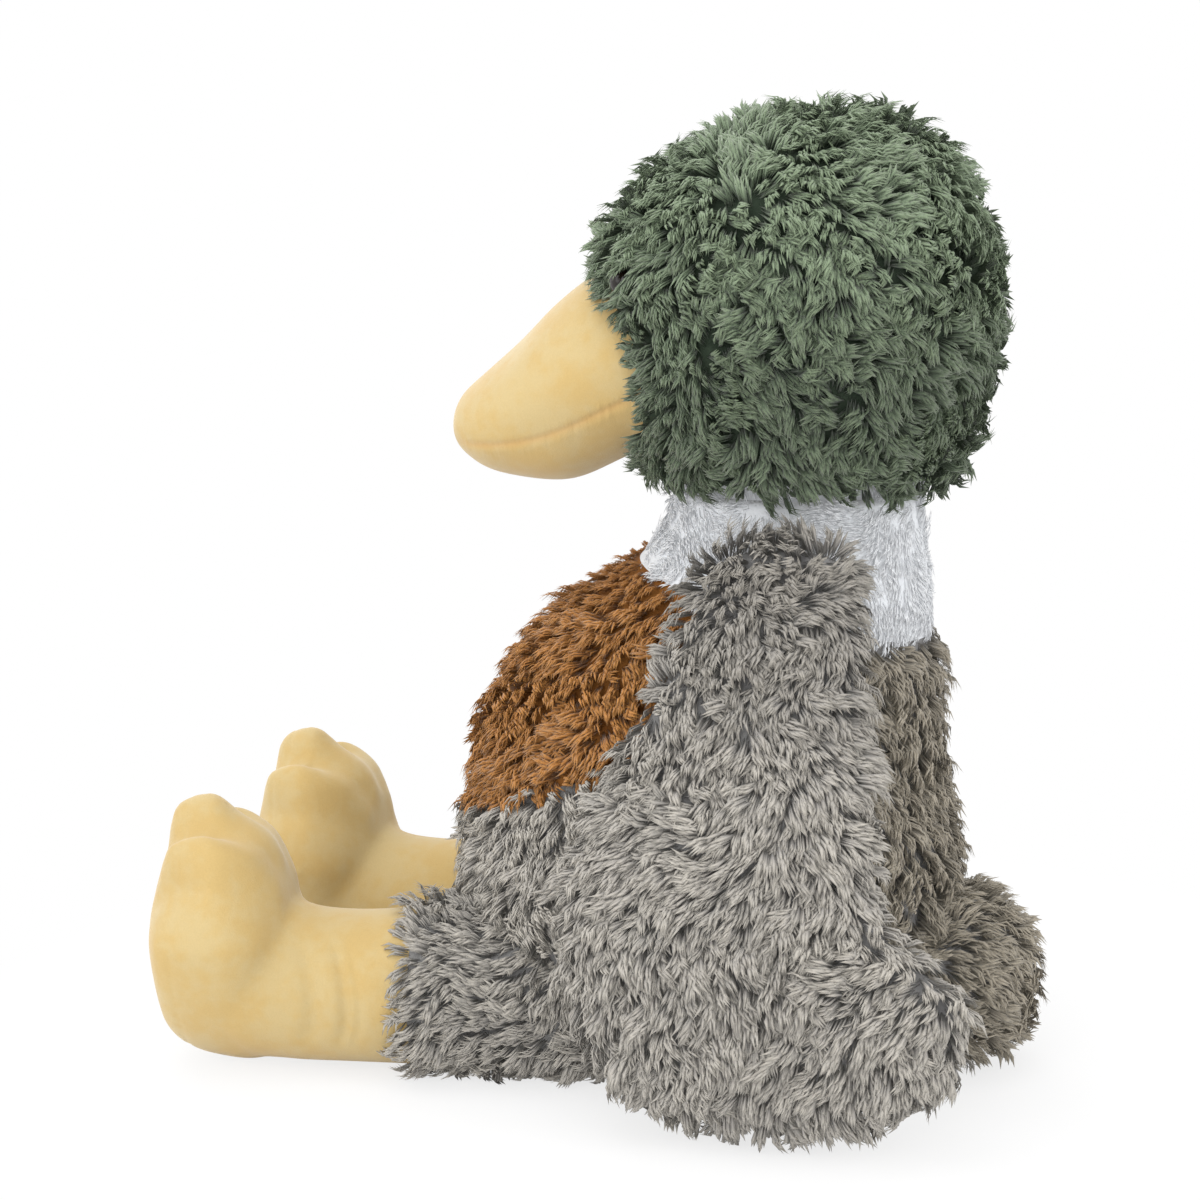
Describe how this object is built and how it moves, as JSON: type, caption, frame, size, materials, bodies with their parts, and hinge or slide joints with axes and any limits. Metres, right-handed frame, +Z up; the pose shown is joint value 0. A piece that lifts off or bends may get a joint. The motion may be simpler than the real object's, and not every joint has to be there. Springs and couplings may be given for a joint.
{
  "type": "plush duck",
  "caption": "Seated stuffed duck with shaggy plush covers, a padded velour bill and webbed feet, a head that turns and nods on a soft neck, lifting wings and swinging legs.",
  "frame": {"origin": "middle of the flat seat, on the surface the duck sits on", "axes": "+Z up, -Y the way the duck looks, +X towards the duck's left wing"},
  "size_m": [0.2922, 0.3767, 0.4155],
  "materials": {
    "grey_plush": "shaggy pile",
    "brown_plush": "shaggy pile",
    "white_plush": "short pile",
    "green_plush": "shaggy pile",
    "cream_velour": "fine nap",
    "filling": "loose fibre",
    "calico": "woven",
    "eye_plastic": "polished",
    "washer_plastic": "moulded"
  },
  "bodies": {
    "body": {"body_cover": "grey_plush", "breast_panel": "brown_plush", "neck_band": "white_plush", "body_filling": "filling", "pellet_bag": "calico", "tail_cover": "grey_plush", "tail_filling": "filling"},
    "neck": {"neck_filling": "filling"},
    "head": {"head_cover": "green_plush", "head_filling": "filling", "bill_upper": "cream_velour", "bill_lower": "cream_velour", "bill_filling": "filling", "eye_left": "eye_plastic", "eye_right": "eye_plastic", "eye_washer_left": "washer_plastic", "eye_washer_right": "washer_plastic"},
    "wing_left": {"wing_cover_left": "grey_plush", "wing_filling_left": "filling"},
    "wing_right": {"wing_cover_right": "grey_plush", "wing_filling_right": "filling"},
    "leg_left": {"thigh_left": "grey_plush", "foot_left": "cream_velour", "sole_left": "cream_velour", "leg_filling_left": "filling"},
    "leg_right": {"thigh_right": "grey_plush", "foot_right": "cream_velour", "sole_right": "cream_velour", "leg_filling_right": "filling"}
  },
  "joints": [
    {"name": "head_turn", "type": "hinge", "parent": "body", "child": "neck", "pos_m": [0, 0.038, 0.215], "axis": [0, 0, 1], "range_deg": [-25, 25], "stiffness_Nm_per_rad": 0.8},
    {"name": "head_nod", "type": "hinge", "parent": "neck", "child": "head", "pos_m": [0, 0.038, 0.215], "axis": [1, 0, 0], "range_deg": [-8, 10], "stiffness_Nm_per_rad": 2},
    {"name": "wing_left_lift", "type": "hinge", "parent": "body", "child": "wing_left", "pos_m": [0.0775, 0.045, 0.2275], "axis": [0, -1, 0], "range_deg": [0, 45]},
    {"name": "wing_right_lift", "type": "hinge", "parent": "body", "child": "wing_right", "pos_m": [-0.0775, 0.045, 0.2275], "axis": [0, 1, 0], "range_deg": [0, 45]},
    {"name": "leg_left_splay", "type": "hinge", "parent": "body", "child": "leg_left", "pos_m": [0.052, -0.018, 0.0385], "axis": [0, 0, 1], "range_deg": [-3, 10], "stiffness_Nm_per_rad": 0.15},
    {"name": "leg_right_splay", "type": "hinge", "parent": "body", "child": "leg_right", "pos_m": [-0.052, -0.018, 0.0385], "axis": [0, 0, -1], "range_deg": [-3, 10], "stiffness_Nm_per_rad": 0.15}
  ]
}
